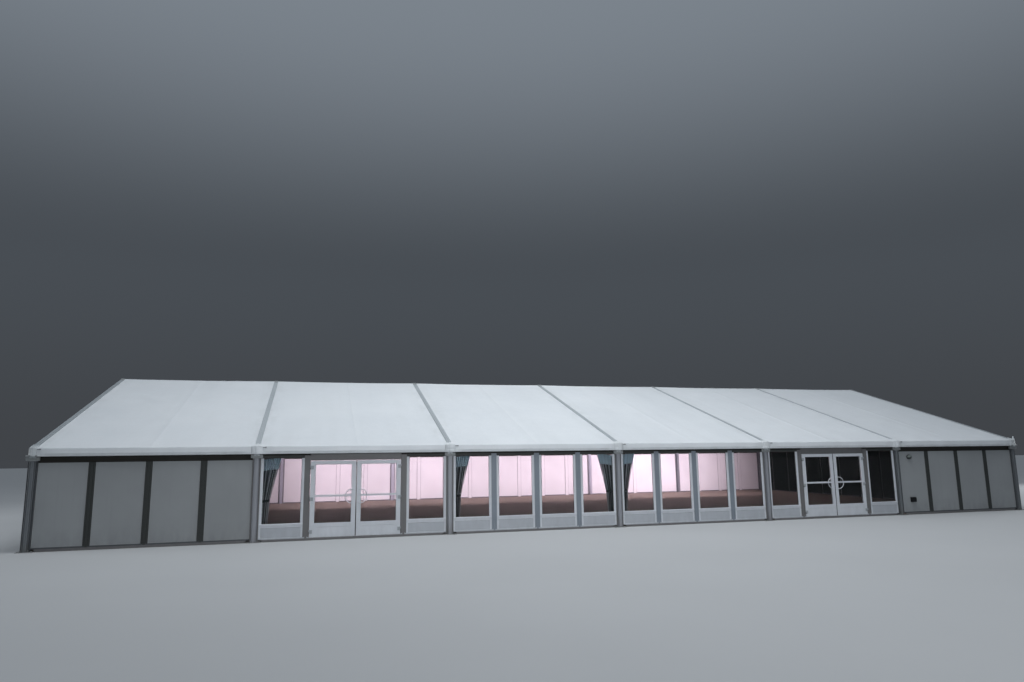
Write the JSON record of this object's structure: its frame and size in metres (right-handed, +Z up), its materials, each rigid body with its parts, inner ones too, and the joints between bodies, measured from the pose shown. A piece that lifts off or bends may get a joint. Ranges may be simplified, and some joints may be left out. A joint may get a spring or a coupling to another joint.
{
  "type": "marquee tent",
  "caption": "Long clearspan marquee with a pitched cloth roof on metal portal frames, hard wall panels, windows, outward-opening glazed double doors and a raised floor.",
  "frame": {"origin": "on the ground, in the middle of the plan", "axes": "+X along the length to the right seen from the front, +Y from the front with its doors to the back, +Z up"},
  "size_m": [30.36, 15.0003, 4.8469],
  "materials": {
    "aluminium": "mill finish, lightly weathered",
    "roof_cloth": "white coated roof cloth, satin",
    "white_frame": "white powder coat",
    "white_panel": "weathered off-white flat panel, matt",
    "glass": "clear",
    "voile": "thin blue-grey curtain cloth",
    "floor_board": "brown matting on boards",
    "lamp_white": "opal cover on a pale base",
    "black_plastic": "moulded"
  },
  "bodies": {
    "tent": {"floor": "floor_board", "portal_frame_1": "aluminium", "portal_frame_2": "aluminium", "portal_frame_3": "aluminium", "portal_frame_4": "aluminium", "portal_frame_5": "aluminium", "portal_frame_6": "aluminium", "portal_frame_7": "aluminium", "ridge_purlin": "aluminium", "roof_sheet_1": "roof_cloth", "back_wall_1": "white_panel", "roof_sheet_2": "roof_cloth", "back_wall_2": "white_panel", "roof_sheet_3": "roof_cloth", "back_wall_3": "white_panel", "roof_sheet_4": "roof_cloth", "back_wall_4": "white_panel", "roof_sheet_5": "roof_cloth", "back_wall_5": "white_panel", "roof_sheet_6": "roof_cloth", "back_wall_6": "white_panel", "gable_sheet_left": "roof_cloth", "gable_wall_left": "white_panel", "gable_sheet_right": "roof_cloth", "gable_wall_right": "white_panel", "front_wall_1": "white_panel", "front_wall_6": "white_panel", "front_wall_3": "white_frame", "front_glass_3": "glass", "front_wall_4": "white_frame", "front_glass_4": "glass", "door_head_2": "white_frame", "side_window_2_left": "white_frame", "side_glass_2_left": "glass", "side_window_2_right": "white_frame", "side_glass_2_right": "glass", "door_head_5": "white_frame", "side_window_5_left": "white_frame", "side_glass_5_left": "glass", "side_window_5_right": "white_frame", "side_glass_5_right": "glass", "curtain_2_left": "voile", "curtain_3_left": "voile", "curtain_3_right": "voile", "curtain_4_left": "voile", "wall_light": "lamp_white", "socket_box": "black_plastic"},
    "door_2_left": {"door_2_left": "white_frame", "door_2_left_glass": "glass", "door_2_left_handle": "white_frame"},
    "door_2_right": {"door_2_right": "white_frame", "door_2_right_glass": "glass", "door_2_right_handle": "white_frame"},
    "door_5_left": {"door_5_left": "white_frame", "door_5_left_glass": "glass", "door_5_left_handle": "white_frame"},
    "door_5_right": {"door_5_right": "white_frame", "door_5_right_glass": "glass", "door_5_right_handle": "white_frame"}
  },
  "joints": [
    {"name": "door_2_left_hinge", "type": "hinge", "parent": "tent", "child": "door_2_left", "pos_m": [-8.67, -7.436, 1], "axis": [0, 0, -1], "range_deg": [0, 100]},
    {"name": "door_2_right_hinge", "type": "hinge", "parent": "tent", "child": "door_2_right", "pos_m": [-6.33, -7.436, 1], "axis": [0, 0, 1], "range_deg": [0, 100]},
    {"name": "door_5_left_hinge", "type": "hinge", "parent": "tent", "child": "door_5_left", "pos_m": [6.33, -7.436, 1], "axis": [0, 0, -1], "range_deg": [0, 100]},
    {"name": "door_5_right_hinge", "type": "hinge", "parent": "tent", "child": "door_5_right", "pos_m": [8.67, -7.436, 1], "axis": [0, 0, 1], "range_deg": [0, 100]}
  ]
}
